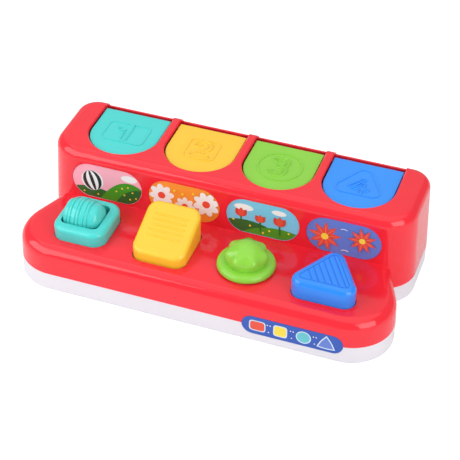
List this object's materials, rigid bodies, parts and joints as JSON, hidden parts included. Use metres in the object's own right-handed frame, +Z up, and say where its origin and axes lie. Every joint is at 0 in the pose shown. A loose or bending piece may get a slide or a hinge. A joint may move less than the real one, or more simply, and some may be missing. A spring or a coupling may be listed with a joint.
{
  "type": "pop-up toy",
  "caption": "Toddler's tabletop pop-up toy: a stepped case with a row of hinged lids over animal heads, and a roller, key, knob and button that each release a lid.",
  "frame": {"origin": "on the surface the toy stands on, under the middle of its bounding box", "axes": "+X to the toy's right, its front with the controls faces -Y, +Z up"},
  "size_m": [0.307, 0.158, 0.081],
  "materials": {
    "red_shell": "glossy red moulded plastic",
    "white_base": "satin white moulded plastic",
    "steel": "bright drawn steel",
    "inner_bar": "natural moulded plastic",
    "label_blue": "printed plastic film",
    "lid_teal": "satin teal moulded plastic",
    "figure_grey_blue": "painted soft plastic",
    "sticker_1": "printed plastic film",
    "lid_yellow": "satin yellow moulded plastic",
    "figure_cream": "painted soft plastic",
    "sticker_2": "printed plastic film",
    "lid_green": "satin green moulded plastic",
    "figure_orange": "painted soft plastic",
    "sticker_3": "printed plastic film",
    "lid_blue": "satin blue moulded plastic",
    "figure_pink_white": "painted soft plastic",
    "sticker_4": "printed plastic film"
  },
  "bodies": {
    "housing": {"bottom_shell": "white_base", "top_shell": "red_shell", "case_screws": "steel", "shape_label": "label_blue", "hinge_rod": "steel", "roller_frame": "lid_teal", "roller_axle": "steel", "key_pin": "steel", "panel_sticker_1": "sticker_1", "panel_sticker_2": "sticker_2", "panel_sticker_3": "sticker_3", "panel_sticker_4": "sticker_4", "lid_spring_1": "steel", "lid_spring_2": "steel", "lid_spring_3": "steel", "lid_spring_4": "steel", "bar_spring_1": "steel", "bar_spring_2": "steel", "bar_spring_3": "steel", "bar_spring_4": "steel"},
    "popup_1": {"lid_1": "lid_teal", "lid_floor_1": "lid_teal", "figure_1": "figure_grey_blue"},
    "popup_2": {"lid_2": "lid_yellow", "lid_floor_2": "lid_yellow", "figure_2": "figure_cream"},
    "popup_3": {"lid_3": "lid_green", "lid_floor_3": "lid_green", "figure_3": "figure_orange"},
    "popup_4": {"lid_4": "lid_blue", "lid_floor_4": "lid_blue", "figure_4": "figure_pink_white"},
    "bar_1": {"release_bar_1": "inner_bar"},
    "bar_2": {"release_bar_2": "inner_bar"},
    "bar_3": {"release_bar_3": "inner_bar"},
    "bar_4": {"release_bar_4": "inner_bar"},
    "roller": {"roller_drum": "lid_teal"},
    "key": {"press_key": "lid_yellow"},
    "knob": {"twist_knob": "lid_green", "knob_crank": "inner_bar", "knob_screw": "steel"},
    "button": {"push_button": "lid_blue"}
  },
  "joints": [
    {"name": "popup_1_swing", "type": "hinge", "parent": "housing", "child": "popup_1", "pos_m": [-0.099, 0.0676, 0.0736], "axis": [-1, 0, 0], "range_deg": [0, 90]},
    {"name": "popup_2_swing", "type": "hinge", "parent": "housing", "child": "popup_2", "pos_m": [-0.033, 0.0676, 0.0736], "axis": [-1, 0, 0], "range_deg": [0, 90]},
    {"name": "popup_3_swing", "type": "hinge", "parent": "housing", "child": "popup_3", "pos_m": [0.033, 0.0676, 0.0736], "axis": [-1, 0, 0], "range_deg": [0, 90]},
    {"name": "popup_4_swing", "type": "hinge", "parent": "housing", "child": "popup_4", "pos_m": [0.099, 0.0676, 0.0736], "axis": [-1, 0, 0], "range_deg": [0, 90]},
    {"name": "roller_turn", "type": "hinge", "parent": "housing", "child": "roller", "pos_m": [-0.1008, -0.03901, 0.0488], "axis": [-1, 0, 0], "range_deg": [0, 35], "stiffness_Nm_per_rad": 0.0107, "springref_deg": -35},
    {"name": "key_press", "type": "hinge", "parent": "housing", "child": "key", "pos_m": [-0.033, -0.056, 0.035], "axis": [-1, 0, 0], "range_deg": [0, 9], "stiffness_Nm_per_rad": 0.162, "springref_deg": -9},
    {"name": "knob_twist", "type": "hinge", "parent": "housing", "child": "knob", "pos_m": [0.033, -0.04098, 0.045], "axis": [0, 0, -1], "range_deg": [0, 45], "stiffness_Nm_per_rad": 0.0065, "springref_deg": -44.98},
    {"name": "button_press", "type": "slide", "parent": "housing", "child": "button", "axis": [0, 0, -1], "range_m": [0, 0.004], "stiffness_N_per_m": 250, "springref_m": -0.004},
    {"name": "bar_1_slide", "type": "slide", "parent": "housing", "child": "bar_1", "axis": [0, -1, 0], "range_m": [0, 0.0041], "deforming": ["bar_spring_1"]},
    {"name": "bar_2_slide", "type": "slide", "parent": "housing", "child": "bar_2", "axis": [0, -1, 0], "range_m": [0, 0.0041], "deforming": ["bar_spring_2"]},
    {"name": "bar_3_slide", "type": "slide", "parent": "housing", "child": "bar_3", "axis": [0, -1, 0], "range_m": [0, 0.0041], "deforming": ["bar_spring_3"]},
    {"name": "bar_4_slide", "type": "slide", "parent": "housing", "child": "bar_4", "axis": [0, -1, 0], "range_m": [0, 0.0041], "deforming": ["bar_spring_4"]}
  ],
  "couplings": [
    {"joint": "bar_1_slide", "follows": "roller_turn", "m_per_rad": 0.0065481},
    {"joint": "bar_2_slide", "follows": "key_press", "m_per_rad": 0.025465},
    {"joint": "bar_3_slide", "follows": "knob_twist", "m_per_rad": 0.005093},
    {"joint": "bar_4_slide", "follows": "button_press", "ratio": 1}
  ]
}
